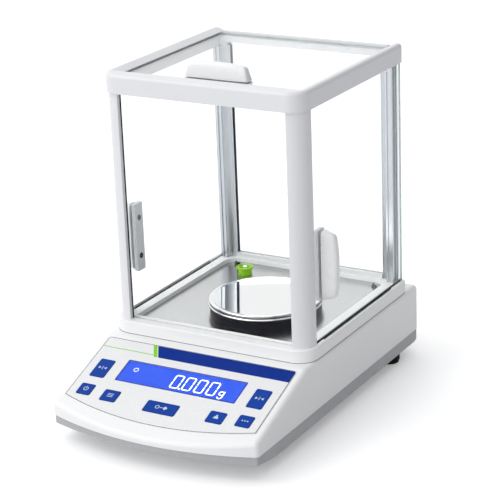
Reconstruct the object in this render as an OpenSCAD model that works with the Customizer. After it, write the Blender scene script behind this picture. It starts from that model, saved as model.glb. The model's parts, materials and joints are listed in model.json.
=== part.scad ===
// Analytical balance with a three-door glass draft shield.
// +X is the balance's right, +Y its back and +Z up. The origin is under the middle of the housing,
// on the surface that it stands on.

/* [Housing] */
// Width of the housing
housing_w = 215; // [205:1:225]
// Depth of the housing from the middle of its bowed front to its back
housing_d = 351; // [345:1:360]
// How far the middle of the front bows out past its corners
front_bulge = 20; // [10:1:24]
// Height of the flat deck
deck_z = 71.5; // [69:0.5:74]
// Height of the joint between the upper housing and the lower shell
joint_z = 25; // [23:1:27]
// Height of the lower shell's underside
shell_z = 12; // [10:0.5:12]
// Wall thickness of the mouldings
wall = 2.5; // [2:0.1:3]
// Radius of the housing's rounded edges
edge_r = 5; // [4:0.5:6]

/* [Control panel] */
// Place of the panel's top edge, from the back of the deck's front strip
panel_top_y = -63.2; // [-65:0.1:-61]
// Slope of the panel in degrees
panel_slope = 19.8; // [18:0.1:20]
// Half width of the overlay
overlay_hw = 100; // [98:0.5:101]
// Thickness of the overlay
overlay_t = 0.8; // [0.6:0.1:1]
// Clearance round each key
key_gap = 0.4; // [0.35:0.05:0.5]
// Travel of a key
key_travel = 0.5; // [0.4:0.1:0.6]

/* [Draft shield] */
// Height of the plinth's top
plinth_z = 84; // [82:0.5:86]
// Half width of the plinth
plinth_hw = 106; // [105:0.5:106.5]
// Height of the top frame's upper face
frame_top_z = 322.4; // [310:0.2:330]
// Height of the top frame's side rails
frame_h = 18.3; // [18:0.1:20]
// Half width of the top frame
frame_hw = 103.8; // [103.4:0.1:104.5]
// Half width over the posts
post_hw = 103; // [102.6:0.1:103.2]
// Front face of the front posts
post_front_y = -51.6; // [-53:0.2:-51]
// Back face of the rear posts
post_back_y = 151; // [150:0.5:152]
// Thickness of the doors and of the front pane
glass_t = 3.5; // [3:0.5:3.5]

/* [Weighing] */
// Outer radius of the pan
pan_r = 54.6; // [50:0.2:56]
// Place of the load column to the right of the middle
column_x = 13; // [0:1:14]
// Place of the load column along the depth
column_y = 32; // [20:1:36]
// Height of the chamber floor's upper face
floor_z = 80; // [79:0.5:81]

/* [Feet] */
// Distance of the levelling feet from the middle
foot_x = 92; // [88:1:92]
// Place of the levelling feet along the depth
foot_y = 138; // [130:1:150]
// Radius of a levelling foot's thumb wheel
wheel_r = 11; // [9:0.5:11]
// Radius of the levelling screws
foot_screw_r = 3; // [2.5:0.5:3]

/* [Hidden] */
$fn = 64;
eps = 0.01;
slack = 0.25;

back_y = housing_d / 2;
front_y = -housing_d / 2;
half_w = housing_w / 2;
// radius of the bowed front and the arc's centre
bow_r = (half_w * half_w + front_bulge * front_bulge) / (2 * front_bulge);
bow_y = front_y + bow_r;
bow_steps = 10;

frame_low_z = frame_top_z - frame_h;
frame_back_y = 152.4;
frame_front_y = post_front_y - 2.6;
rail_in = 91.5;
post_r = 16;
front_post_in = 86.8;
front_post_back_y = -34.4;
flange_t = 4;

door_in = 98.4;
door_out = door_in + glass_t;
door_front_y = front_post_back_y + 0.4;
door_back_y = 150;
door_low_z = plinth_z - 3.4;
door_top_z = frame_low_z + 4.7;
groove_in = door_in - 1;
groove_out = door_out + 0.4;

top_glass_z = 314.4;
top_glass_top = top_glass_z + glass_t;
top_glass_hw = 97.4;
top_glass_front_y = -40.6;
top_glass_back_y = 151;

front_glass_y = -46;
front_glass_hw = 91.4;
rear_post_in = 82;
rear_post_out = 97;
rear_post_front_y = 137;
rear_leg_t = 6;
cove_r = 8;
rear_glass_y = 147;
rear_glass_t = 3;
rear_rail_low_z = 308;
rear_sill_z = 88.6;

handle_z = 154.5;
handle_len = 66;
handle_y = -15;
handle_reach = 15;
clamp_t = 4;
clamp_w = 12.4;
screw_half = 19;
top_handle_y = -16;

floor_hw = 88;
floor_front_y = -38.4;
floor_back_y = 141;
floor_t = 1.5;
floor_screw_spots = [[83, 126], [79, 129.5], [-76, 131]];
level_spot = [-55, 112];

pan_rim_r = 3.1;
pan_top_z = 94.5;
ring_r = 53;
hub_z = 84.4;

// hole that the load column passes through, and the coil's place along the depth
column_hole_r = 9;
coil_y = 91;
cell_top_z = 24;

// clearance hole and counterbore of the housing screws, and where they stand on the flat underside
screw_hole_r = 1.65;
screw_head_hole_r = 3.4;
shell_screw_x = 92;
shell_screw_rows = [-119, 0, 160];
boss_low_z = joint_z + 3;
boss_h = 8;

track_back_y = 153.5;
lip_front_y = -21;
lip_back_y = 123;

socket_y = back_y - 0.4;
socket_z = 46;
socket_half_h = 6.3;
socket_x = 62;
serial_x = -52;
board_z = socket_z - socket_half_h - 0.05;

// height of the keypad board's upper face over the panel, and of its switches
keypad_w = -8.8;
switch_h = 2;
// each opening in the panel: middle across, middle up the slope, half width, half height
lcd = [0, -44.2, 63.5, 14.4];
tare_key = [83.1, -47.2, 7.8, 11.9];
power_key = [83.7, -76.6, 7.3, 7];
function_key = [55.8, -78.8, 8.3, 7.1];
unit_key = [0, -81.2, 16.5, 7];
left_keys = [[-tare_key[0], tare_key[1], tare_key[2], tare_key[3]],
             [-power_key[0], power_key[1], power_key[2], power_key[3]],
             [-function_key[0], function_key[1], function_key[2], function_key[3]]];
right_keys = [tare_key, power_key, function_key];
all_keys = concat(left_keys, right_keys, [unit_key]);

// ---------------------------------------------------------------- shared shapes

// a rectangle of half sizes hx and hy with round corners
module soft_rect(hx, hy, r) {
    square([2 * (hx - r), 2 * hy], center = true);
    square([2 * hx, 2 * (hy - r)], center = true);
    for (sx = [-1, 1], sy = [-1, 1])
        translate([sx * (hx - r), sy * (hy - r)]) circle(r = r);
}

// a block between two corners
module block(low, high) {
    translate(low) cube(high - low);
}

// a quarter-round upper edge on a round corner of radius r
module round_edge(r, edge) rotate_extrude($fn = 48) intersection() {
    translate([r - edge, 0]) circle(r = edge, $fn = 32);
    translate([0, -edge]) square([r, 2 * edge]);
}

module mirrored(side) {
    if (side < 0) mirror([1, 0, 0]) children();
    else children();
}

module both_sides() {
    children();
    mirror([1, 0, 0]) children();
}

// places a shape in the panel's plane: x across, y up the slope, z out of the panel
module on_panel() {
    translate([0, panel_top_y, deck_z]) rotate([panel_slope, 0, 0]) children();
}

// places a shape at each screw that joins the lower shell to the upper housing
module at_shell_screws() {
    for (x = [-shell_screw_x, shell_screw_x], y = shell_screw_rows)
        translate([x, y, 0]) children();
}

// ---------------------------------------------------------------- housing

// y of the bowed front at a given x
function bow(x, r) = bow_y - sqrt(r * r - x * x);

// closed solid of the housing's outline, set in by a margin
module housing_form(margin, r) {
    inset = margin + r;
    hw = half_w - inset;
    lift = inset / cos(panel_slope);
    panel_h = function (y) deck_z + (y - panel_top_y) * tan(panel_slope) - lift;
    crease_y = panel_top_y + (lift - inset) / tan(panel_slope);
    hull() {
        for (x = [-hw, hw]) {
            translate([x, back_y - inset, deck_z - inset]) sphere(r = r, $fn = 32);
            translate([x, crease_y, deck_z - inset]) sphere(r = r, $fn = 32);
            translate([x, back_y - inset, 0]) cylinder(r = r, h = 1, $fn = 32);
        }
        for (i = [-bow_steps:bow_steps]) {
            x = hw * i / bow_steps;
            y = bow(x, bow_r - inset);
            translate([x, y, panel_h(y)]) sphere(r = r, $fn = 32);
            translate([x, y, 0]) cylinder(r = r, h = 1, $fn = 32);
        }
    }
}

// plan of the lower shell, set in by a margin; its corners are tighter than the housing's
module shell_plan(margin) {
    corner = 2.5;
    inset = margin + corner;
    hw = half_w - inset;
    hull() {
        for (x = [-hw, hw]) translate([x, back_y - inset]) circle(r = corner, $fn = 32);
        for (i = [-bow_steps:bow_steps]) {
            x = hw * i / bow_steps;
            translate([x, bow(x, bow_r - inset)]) circle(r = corner, $fn = 32);
        }
    }
}

module key_hole(key, gap) {
    translate([key[0], key[1]]) soft_rect(key[2] + gap, key[3] + gap, 1.6 + gap);
}

module top_housing() color("white") {
    boss_r = 4.5;
    difference() {
        union() {
            difference() {
                intersection() {
                    housing_form(0, edge_r);
                    block([-half_w, front_y, joint_z], [half_w, back_y, deck_z]);
                }
                intersection() {
                    housing_form(wall, edge_r - wall);
                    block([-half_w, front_y, joint_z - 1], [half_w, back_y, deck_z]);
                }
            }
            at_shell_screws()
                translate([0, 0, boss_low_z]) cylinder(r = boss_r, h = boss_h);
            // ribs from the bosses to the side walls
            for (x = [-1, 1], y = shell_screw_rows)
                translate([x * (half_w - wall - 6), y, boss_low_z + boss_h / 2])
                    cube([12.5, 5, boss_h], center = true);
        }
        at_shell_screws() translate([0, 0, joint_z - 1]) cylinder(r = screw_hole_r, h = 9);
        on_panel() {
            for (key = all_keys)
                translate([0, 0, -wall - 2]) linear_extrude(wall + 4) key_hole(key, key_gap);
            translate([lcd[0], lcd[1], -wall - 2])
                linear_extrude(wall + 4) soft_rect(lcd[2], lcd[3], 1);
        }
        translate([column_x, column_y, deck_z - 6]) cylinder(r = column_hole_r, h = 8);
        translate([socket_x, back_y - 5, socket_z]) cube([14.4, 14, 13.4], center = true);
        translate([serial_x, back_y - 5, socket_z]) cube([31.6, 14, 13.4], center = true);
    }
}

module bottom_shell() color("gainsboro") {
    nose_z = shell_z + 7.6;
    nose_run = 52;
    set_in = 1;
    both_sides() for (y = [26, 158])
        block([half_w - 6, y - 4, shell_z - 1], [half_w - 2, y + 4, shell_z + 1]);
    difference() {
        intersection() {
            translate([0, 0, shell_z]) linear_extrude(joint_z - shell_z) shell_plan(set_in);
            rotate([90, 0, 90]) linear_extrude(housing_w + 2, center = true)
                polygon([[front_y, nose_z], [front_y + nose_run, shell_z], [back_y - 8, shell_z],
                         [back_y, shell_z + 2.4], [back_y, joint_z], [front_y, joint_z]]);
        }
        translate([0, 0, nose_z + wall]) linear_extrude(20) shell_plan(set_in + wall);
        block([-half_w + 20, -118, shell_z + wall], [half_w - 20, back_y - 20, joint_z]);
        at_shell_screws() {
            translate([0, 0, shell_z - 1]) cylinder(r = screw_hole_r, h = 20);
            translate([0, 0, shell_z - 1]) cylinder(r = screw_head_hole_r, h = 4);
        }
        for (side = [-1, 1])
            translate([side * foot_x, foot_y, shell_z - 1])
                cylinder(r = foot_screw_r + 0.05, h = 20);
    }
}

module shell_screws() color("dimgray") {
    at_shell_screws() {
        translate([0, 0, shell_z + 0.3]) cylinder(r = 3.1, h = 2.6);
        translate([0, 0, shell_z + 2.8]) cylinder(r = 1.6, h = joint_z + 5 - shell_z);
    }
}

// ---------------------------------------------------------------- control panel

module overlay_plan() {
    top_v = -5.3;
    side_v = -87.3;
    bulge = 16;
    arc_r = (overlay_hw * overlay_hw + bulge * bulge) / (2 * bulge);
    corner = 3;
    intersection() {
        translate([0, (top_v + side_v - bulge) / 2])
            soft_rect(overlay_hw, (top_v - side_v + bulge) / 2, corner);
        translate([0, side_v - bulge + arc_r]) circle(r = arc_r, $fn = 360);
    }
}

module keypad_overlay() color("white") on_panel() linear_extrude(overlay_t) difference() {
    overlay_plan();
    for (key = all_keys) key_hole(key, key_gap);
    translate([lcd[0], lcd[1]]) soft_rect(lcd[2], lcd[3], 1);
}

module display_window() color("skyblue", 0.5) on_panel() translate([lcd[0], lcd[1], -0.1])
    linear_extrude(0.85) soft_rect(lcd[2] - slack, lcd[3] - slack, 1);

module lcd_module() color("royalblue") on_panel() translate([lcd[0], lcd[1], 0]) {
    translate([0, 0, -8.2]) linear_extrude(5) soft_rect(lcd[2] + 3, lcd[3] + 3, 0.8);
    translate([0, 0, -3.3]) linear_extrude(3.1) soft_rect(lcd[2] - 0.6, lcd[3] - 0.6, 0.5);
}

// the panel's circuit board, cut away round the display
module keypad_board() color("darkgreen") on_panel() translate([0, 0, keypad_w - 1.6])
    linear_extrude(1.6)
    difference() {
        translate([0, -55.5]) square([174, 63], center = true);
        translate([lcd[0], lcd[1]]) square([2 * lcd[2] + 8, 2 * lcd[3] + 8], center = true);
    }

module key_switches() color("black") on_panel()
    for (key = all_keys) translate([key[0], key[1], keypad_w]) {
        linear_extrude(1.4) square(6, center = true);
        cylinder(r = 1.7, h = switch_h);
    }

// key cap, retaining flange under the housing's wall and plunger over the switch
module key_cap(key) on_panel() translate([key[0], key[1], 0]) {
    flange_z = -wall - 0.35;
    translate([0, 0, flange_z - eps]) linear_extrude(overlay_t + 0.35 - flange_z)
        soft_rect(key[2], key[3], 1.6);
    translate([0, 0, flange_z - 1]) linear_extrude(1) square(2 * [key[2] + 1.4, key[3] + 1.4],
        center = true);
    plunger_w = keypad_w + switch_h + key_travel + 0.3;
    translate([0, 0, plunger_w]) cylinder(r = 1.6, h = flange_z - plunger_w);
}

module key_tare_left() color("mediumblue") key_cap(left_keys[0]);
module key_power() color("mediumblue") key_cap(left_keys[1]);
module key_function() color("mediumblue") key_cap(left_keys[2]);
module key_unit() color("mediumblue") key_cap(unit_key);
module key_calibrate() color("mediumblue") key_cap(right_keys[2]);
module key_count() color("mediumblue") key_cap(right_keys[1]);
module key_tare_right() color("mediumblue") key_cap(right_keys[0]);

// stands on four pillars and carries the sockets at its back edge
module main_board() color("seagreen") {
    block([-78, 112, board_z - 1.6], [78, 171, board_z]);
    for (x = [-60, -38, -16, 40]) block([x - 6, 124, board_z - eps], [x + 6, 140, board_z + 2.4]);
    pillar_z = shell_z + wall + 0.02;
    for (x = [-74, 74], y = [116, 150])
        translate([x, y, pillar_z]) cylinder(r = 2.5, h = board_z - 1 - pillar_z);
}

// ---------------------------------------------------------------- chamber base and floor

// plan of the plinth: round front corners, tighter rear ones
module plinth_form() {
    low_r = 19;
    back_r = 8;
    top_r = 1.4;
    front = frame_front_y - 2;
    back = frame_back_y + 1.6;
    hull() {
        for (side = [-1, 1]) {
            for (spot = [[low_r, front + low_r], [back_r, back - back_r]]) {
                translate([side * (plinth_hw - spot[0]), spot[1], 0]) {
                    translate([0, 0, deck_z]) cylinder(r = spot[0], h = 4, $fn = 48);
                    translate([0, 0, plinth_z - top_r]) round_edge(spot[0], top_r);
                }
            }
        }
    }
}

// the chamber's recess, with round rear corners
module recess_plan(margin) {
    r = 14;
    hw = floor_hw - margin;
    translate([-hw, floor_front_y + margin]) square([2 * hw, 120]);
    translate([0, floor_back_y - margin - 70]) soft_rect(hw, 70, r);
}

module chamber_base() color("whitesmoke") difference() {
    plinth_form();
    translate([0, 0, floor_z - floor_t]) linear_extrude(20) recess_plan(0);
    // grooves of the side doors, open at the back
    both_sides() {
        block([groove_in, door_front_y - 0.6, plinth_z - 5], [groove_out, back_y, plinth_z + 1]);
        block([groove_in, -26, plinth_z - 5], [104.2, 128, plinth_z + 1]);
    }
    // groove of the front pane
    block([-front_glass_hw - 0.4, front_glass_y - 0.2, plinth_z - 3],
          [front_glass_hw + 0.4, front_glass_y + glass_t + 0.2, 90]);
    translate([column_x, column_y, deck_z - 1]) cylinder(r = column_hole_r, h = 12);
    // lightening pockets
    for (x = [-52, 52]) block([x - 30, 62, deck_z - 1], [x + 30, 136, deck_z + 4]);
    for (x = [-52, 52]) block([x - 28, -34, deck_z - 1], [x + 28, 8, deck_z + 4]);
}

module chamber_floor() color("silver") difference() {
    translate([0, 0, floor_z - floor_t + eps]) linear_extrude(floor_t) recess_plan(slack);
    translate([column_x, column_y, floor_z - 3]) cylinder(r = column_hole_r, h = 6);
    for (spot = floor_screw_spots)
        translate([spot[0], spot[1], floor_z - 3]) cylinder(r = 1.3, h = 6);
}

module floor_screws() color("dimgray") for (spot = floor_screw_spots)
    translate([spot[0], spot[1], 0]) {
        translate([0, 0, floor_z - 1.4]) cylinder(r = 1.2, h = 2);
        translate([0, 0, floor_z + 0.05]) cylinder(r = 2, h = 1.6);
        translate([0, 0, floor_z + 1.5]) cylinder(r = 1, h = 2.4);
    }

module draft_ring() color("black") translate([column_x, column_y, floor_z + 0.02])
    rotate_extrude($fn = 96) union() {
        translate([ring_r - 3, 0]) square([3, 7.4]);
        translate([ring_r - 6, 0]) square([6, 1.6]);
    }

module level_housing() color("black") translate([level_spot[0], level_spot[1], floor_z + 0.02])
    {
        cylinder(r = 6.8, h = 1.6);
        block([-10.8, 2.5, 0], [-4, 6.5, 1.5]);
        block([-10.8, 2.5, 0], [-9.3, 6.5, 9]);
    }

module level_vial() color("yellowgreen") translate([level_spot[0], level_spot[1], floor_z])
    rotate_extrude() union() {
        translate([0, 1.64]) square([7.2, 6.6]);
        translate([0, 6.6]) square([8.8, 1.7]);
    }

// ---------------------------------------------------------------- posts and frame

// angle section: a front flange that the pane lies behind, a side flange that the door meets
module front_post_plan() {
    centre = [post_hw - post_r, post_front_y + post_r];
    difference() {
        intersection() {
            translate([front_post_in, post_front_y])
                square([post_hw - front_post_in, front_post_back_y - post_front_y]);
            union() {
                translate(centre) circle(r = post_r);
                translate([front_post_in, centre[1]]) square(40);
            }
        }
        translate(centre) circle(r = post_r - flange_t);
        translate([front_post_in - 1, post_front_y + flange_t])
            square([centre[0] - front_post_in + 1, post_r]);
        translate([front_post_in - 1, centre[1]])
            square([post_hw - flange_t - front_post_in + 1, post_r]);
    }
}

module front_post(side) mirrored(side) translate([0, 0, plinth_z])
    linear_extrude(frame_low_z - plinth_z) front_post_plan();

module front_left_post() color("white") front_post(-1);
module front_right_post() color("white") front_post(1);

// aluminium corner section: outer leg, back leg and a cove between them
module rear_post_plan() difference() {
    translate([rear_post_in, rear_post_front_y])
        square([rear_post_out - rear_post_in, post_back_y - rear_post_front_y]);
    translate([rear_post_in, post_back_y - rear_leg_t - cove_r]) circle(r = cove_r);
    translate([rear_post_in - 1, rear_post_front_y - 1])
        square([cove_r + 1, post_back_y - rear_leg_t - cove_r - rear_post_front_y + 1]);
    // outer and front flutes
    translate([rear_post_out - 1.6, rear_post_front_y + 2.2]) square([4, 4.6]);
    translate([rear_post_out - 1.2, rear_post_front_y + 9]) square([4, 2]);
    translate([rear_post_in + cove_r + 2, rear_post_front_y - 1]) square([2.2, 2]);
    // groove of the rear pane
    translate([rear_post_in - 1, rear_glass_y - 0.8]) square([5, rear_glass_t + 1.1]);
}

module rear_post(side) mirrored(side) translate([0, 0, plinth_z])
    linear_extrude(frame_low_z - plinth_z) rear_post_plan();

module rear_left_post() color("silver") rear_post(-1);
module rear_right_post() color("silver") rear_post(1);

// ring with round front corners and rounded upper edges
module frame_form() {
    top_r = 4;
    front_r = 16.8;
    back_r = 4.2;
    hull() {
        for (side = [-1, 1]) {
            for (spot = [[front_r, frame_front_y + front_r], [back_r, frame_back_y - back_r]]) {
                translate([side * (frame_hw - spot[0]), spot[1], 0]) {
                    translate([0, 0, frame_low_z]) cylinder(r = spot[0], h = 4, $fn = 48);
                    translate([0, 0, frame_top_z - top_r]) round_edge(spot[0], top_r);
                }
            }
        }
    }
}

module top_frame() color("whitesmoke") difference() {
    frame_form();
    front_in = -41;
    back_in = 141;
    below = frame_low_z - 4;
    above = frame_top_z + 8;
    slant_out = 98.5;
    lip_t = 0.8;
    slant_z = top_glass_top + 0.4 + lip_t;
    block([-rail_in, front_in, below], [rail_in, back_in, above]);
    // grooves that carry the top door, open at the back
    block([-98, front_in, top_glass_z - 0.3], [98, back_y, top_glass_top + 0.4]);
    block([-rail_in, back_in - 4, top_glass_z - 0.3], [rail_in, back_y, above]);
    // slanted upper edges inside the side rails
    both_sides() translate([0, back_y, 0]) rotate([90, 0, 0]) linear_extrude(back_y - front_in)
        polygon([[rail_in - 1, slant_z], [rail_in, slant_z], [slant_out, frame_top_z + eps],
                 [slant_out, above], [rail_in - 1, above]]);
    block([-rear_post_in - 2, back_in - 1, below], [rear_post_in + 2, back_y, rear_rail_low_z]);
    // grooves of the side doors, open at the back
    both_sides() block([groove_in, door_front_y - 0.4, below], [groove_out, back_y, door_top_z + 0.5]);
    // grooves of the fixed panes
    block([-front_glass_hw - 0.4, front_glass_y - 0.2, below],
          [front_glass_hw + 0.4, front_glass_y + glass_t + 0.2, frame_low_z + 4]);
    block([-88, rear_glass_y - 0.2, below], [88, rear_glass_y + rear_glass_t + 0.2, 311]);
}

module front_glass() color("lightcyan", 0.35)
    block([-front_glass_hw, front_glass_y, plinth_z - 2.8],
          [front_glass_hw, front_glass_y + glass_t, frame_low_z + 3.6]);

module rear_glass() color("lightcyan", 0.35)
    block([-85.4, rear_glass_y, plinth_z + 1.6], [85.4, rear_glass_y + rear_glass_t, 310.6]);

module front_glass_seals() color("black") both_sides()
    block([front_post_in - 0.5, front_glass_y - 1.5, plinth_z + 0.1],
          [front_post_in + 1.4, front_glass_y - 0.05, frame_low_z - 0.1]);

module rear_glass_seals() color("black") both_sides()
    block([rear_post_in - 0.5, rear_glass_y - 0.75, rear_sill_z + 0.2],
          [rear_post_in + 3.8, rear_glass_y - 0.05, frame_low_z - 0.2]);

// sill that holds the rear pane between the rear posts
module rear_sill() color("whitesmoke") difference() {
    block([-rear_post_in + 0.1, rear_glass_y - 4, plinth_z + 0.02],
          [rear_post_in - 0.1, post_back_y, rear_sill_z]);
    block([-100, rear_glass_y - 0.1, plinth_z + 1.4],
          [100, rear_glass_y + rear_glass_t + 0.1, rear_sill_z + 1]);
}

// ---------------------------------------------------------------- door tracks

module track(side) mirrored(side) {
    low = plinth_z - 4.98;
    high = low + 1.28;
    lip_in = groove_in + 0.05;
    block([lip_in, door_front_y - 0.4, low], [groove_out - 0.1, track_back_y, high]);
    block([lip_in, door_front_y - 0.4, low], [lip_in + 0.5, track_back_y, plinth_z - 0.8]);
    block([groove_out - 0.2, lip_front_y, low], [103.2, lip_back_y, high]);
    block([103, lip_front_y, low], [104, lip_back_y, plinth_z - 2.2]);
}

module left_track() color("black") track(-1);
module right_track() color("black") track(1);

module track_end_caps() color("white") {
    cap_len = 4.7;
    both_sides() for (y = [lip_front_y - cap_len - 0.2, lip_back_y + 0.1])
        block([groove_out + 0.1, y, plinth_z - 4.9], [104.1, y + cap_len, plinth_z + 0.3]);
}

// ---------------------------------------------------------------- doors

// a door's screws pass through the pane between the handle and the clamp
module door_glass(side) mirrored(side) difference() {
    block([door_in, door_front_y, door_low_z], [door_out, door_back_y, door_top_z]);
    for (z = [-1, 1])
        translate([door_in - 1, handle_y, handle_z + z * screw_half]) rotate([0, 90, 0])
            cylinder(r = 2.2, h = glass_t + 2);
}

// blade-shaped grip: length along x, thickness along y, standing on z = 0
module grip() {
    half_len = handle_len / 2;
    difference() {
        hull() {
            for (sx = [-1, 1], sy = [-1, 1]) {
                translate([sx * (half_len - 1.2), sy * (clamp_w / 2 - 1.2), 0])
                    cylinder(r = 1.2, h = 1, $fn = 24);
                translate([sx * (half_len - 4), sy * 1.6, handle_reach - 5])
                    sphere(r = 2.8, $fn = 24);
                translate([sx * 14, sy * 1.6, handle_reach - 2.9]) sphere(r = 2.8, $fn = 24);
            }
        }
        for (x = [-1, 1]) translate([x * screw_half, 0, -1]) cylinder(r = screw_hole_r, h = 9);
    }
}

module clamp_bar() difference() {
    linear_extrude(clamp_t) soft_rect(handle_len / 2 + 0.6, clamp_w / 2, 1.2);
    for (x = [-1, 1]) translate([x * screw_half, 0, -1]) {
        cylinder(r = 1.7, h = 8);
        translate([0, 0, clamp_t - 0.5]) cylinder(r = 2.9, h = 4);
    }
}

module clamp_screws(thickness) for (x = [-1, 1]) translate([x * screw_half, 0, 0]) {
    translate([0, 0, clamp_t - 1.5]) cylinder(r = 2.6, h = 1.8);
    translate([0, 0, -thickness - 6]) cylinder(r = 1.6, h = thickness + 6 + clamp_t - 1);
}

// turns a grip or clamp so that it stands on a side door
module on_door(x, outward) translate([x, handle_y, handle_z])
    rotate([0, outward * 90, 0]) children();

module door_handle(side) mirrored(side) on_door(door_out + 0.02, 1) grip();
module door_clamp(side) mirrored(side) on_door(door_in - 0.02, -1) difference() {
    clamp_bar();
    for (x = [-1, 1]) translate([x * screw_half, 0, clamp_t - 1.6]) cylinder(r = 2.9, h = 4);
}
module door_screws(side) mirrored(side) on_door(door_in - 0.02, -1) clamp_screws(glass_t);

module left_door_glass() color("lightcyan", 0.35) door_glass(-1);
module left_door_handle() color("white") door_handle(-1);
module left_door_clamp() color("lightgray") door_clamp(-1);
module left_door_screws() color("dimgray") door_screws(-1);
module right_door_glass() color("lightcyan", 0.35) door_glass(1);
module right_door_handle() color("white") door_handle(1);
module right_door_clamp() color("lightgray") door_clamp(1);
module right_door_screws() color("dimgray") door_screws(1);

module top_door_glass() color("lightcyan", 0.35)
    block([-top_glass_hw, top_glass_front_y, top_glass_z],
          [top_glass_hw, top_glass_back_y, top_glass_top]);

module top_door_handle() color("white") translate([0, top_handle_y, 0]) {
    translate([0, 0, top_glass_top + 0.02]) grip();
    translate([0, 0, top_glass_z - 2.5]) linear_extrude(2.48)
        soft_rect(handle_len / 2, clamp_w / 2, 1.2);
}

module top_door_edge_strip() color("white")
    block([-rail_in + 1, top_glass_back_y - 5, top_glass_top + 0.02],
          [rail_in - 1, top_glass_back_y, top_glass_top + 1.8]);

// ---------------------------------------------------------------- pan and weighing cell

module weighing_pan() color("silver") translate([column_x, column_y, 0]) rotate_extrude($fn = 128)
    union() {
        translate([0, pan_top_z - 1.2]) square([pan_r - pan_rim_r, 1.2]);
        translate([pan_r - pan_rim_r, pan_top_z - pan_rim_r]) circle(r = pan_rim_r, $fn = 32);
        translate([6.2, hub_z + 2.22]) square([4, pan_top_z - hub_z - 3]);
    }

// disc with a centring boss; it sits on the load column's cone
module pan_carrier() color("gray") translate([column_x, column_y, 0]) difference() {
    rotate_extrude($fn = 96) union() {
        translate([0, hub_z]) square([40, 2.2]);
        translate([0, hub_z]) square([5.9, 7.6]);
    }
    translate([0, 0, hub_z - 1]) cylinder(r = 3.05, h = 6);
}

module load_column() color("silver") translate([column_x, column_y, 0]) {
    translate([0, 0, 58.6]) cylinder(r = 5, h = hub_z - 58.6 - 0.02);
    translate([0, 0, hub_z - 1]) cylinder(r = 3, h = 5);
}

module cell_base() color("lightgray") {
    z0 = shell_z + wall + 0.02;
    difference() {
        block([column_x - 28, 0, z0], [column_x + 28, 106, cell_top_z]);
        block([column_x - 18, 12, 18], [column_x + 18, 60, 30]);
    }
    block([column_x - 16, 64, cell_top_z - 1], [column_x + 16, 76, 52]);
}

module magnet_pot() color("dimgray") translate([column_x, coil_y, cell_top_z + 0.02]) difference() {
    cylinder(r = 13.5, h = 20);
    difference() {
        translate([0, 0, 5]) cylinder(r = 10.5, h = 20);
        cylinder(r = 6.5, h = 18);
    }
}

// load receiver, two parallel guides and the beam to the coil
module cell_lever() color("silver") {
    guide_w = 3;
    guide_back_y = 63.9;
    link_t = 1.6;
    // each pair of guides: lower face and thickness
    guides = [[32, 2], [50, link_t]];
    block([column_x - 9, column_y - 8, 30], [column_x + 9, column_y + 8, 58.56]);
    for (x = [-13, 10], guide = guides)
        block([column_x + x, column_y - 8, guide[0]],
              [column_x + x + guide_w, guide_back_y, guide[0] + guide[1]]);
    for (guide = guides)
        block([column_x - 13, column_y - 4, guide[0]], [column_x + 13, column_y + 4, guide[0] + link_t]);
    block([column_x - 4, column_y + 7, 53.4], [column_x + 4, coil_y + 3, 57]);
}

module voice_coil() color("darkgoldenrod") translate([column_x, coil_y, 0]) {
    translate([0, 0, 34]) rotate_extrude() translate([7.2, 0]) square([2.4, 16]);
    translate([0, 0, 49.8]) cylinder(r = 9.6, h = 3.58);
}

// ---------------------------------------------------------------- feet and sockets

module foot_pad(side) mirrored(side) translate([foot_x, foot_y, 0]) difference() {
    union() {
        cylinder(r = 10, h = 1.8);
        cylinder(r = 9.2, h = 2.6);
    }
    translate([0, 0, 1.6]) cylinder(r = 2.05, h = 5);
}

module foot_screw(side) mirrored(side) translate([foot_x, foot_y, 0]) {
    translate([0, 0, 1.65]) cylinder(r = 2, h = 3);
    translate([0, 0, 2.8]) difference() {
        cylinder(r = wheel_r, h = 7.7);
        for (i = [0:15]) rotate(i * 360 / 16)
            translate([wheel_r + 0.5, 0, -1]) cylinder(r = 1.1, h = 10);
    }
    translate([0, 0, 9]) cylinder(r = foot_screw_r, h = 14.5);
}

module left_foot_pad() color("black") foot_pad(-1);
module left_foot_screw() color("black") foot_screw(-1);
module right_foot_pad() color("black") foot_pad(1);
module right_foot_screw() color("black") foot_screw(1);

module front_feet() color("black") both_sides() translate([78, -112, 0]) {
    cylinder(r1 = 7.6, r2 = 8.4, h = 8, $fn = 64);
    translate([0, 0, 8]) cylinder(r = 8.4, h = shell_z - 8.02);
}

module power_socket() color("black") translate([socket_x, socket_y, socket_z]) {
    difference() {
        translate([0, -6, 0]) cube([13.6, 12, 2 * socket_half_h], center = true);
        rotate([90, 0, 0]) translate([0, 0, -1]) cylinder(r = 2.75, h = 10);
    }
    rotate([90, 0, 0]) translate([0, 0, 0.6]) cylinder(r = 1.05, h = 10);
}

module serial_port() color("slategray") translate([serial_x, socket_y, socket_z]) difference() {
    union() {
        translate([0, -5, 0]) cube([30.8, 1.2, 2 * socket_half_h], center = true);
        translate([0, -8.5, -1]) cube([19, 7, 10.6], center = true);
        rotate([90, 0, 0]) translate([0, 0, 0.4]) linear_extrude(6)
            polygon([[-8.2, 4], [8.2, 4], [6.8, -4], [-6.8, -4]]);
    }
    for (x = [-12.5, 12.5]) translate([x, 1, 0]) rotate([90, 0, 0]) cylinder(r = 1.5, h = 9);
    for (i = [0:4]) translate([(i - 2) * 2.77, 1, 1.4]) rotate([90, 0, 0]) cylinder(r = 0.6, h = 5);
    for (i = [0:3]) translate([(i - 1.5) * 2.77, 1, -1.4]) rotate([90, 0, 0]) cylinder(r = 0.6, h = 5);
}

// ---------------------------------------------------------------- the assembly

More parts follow.
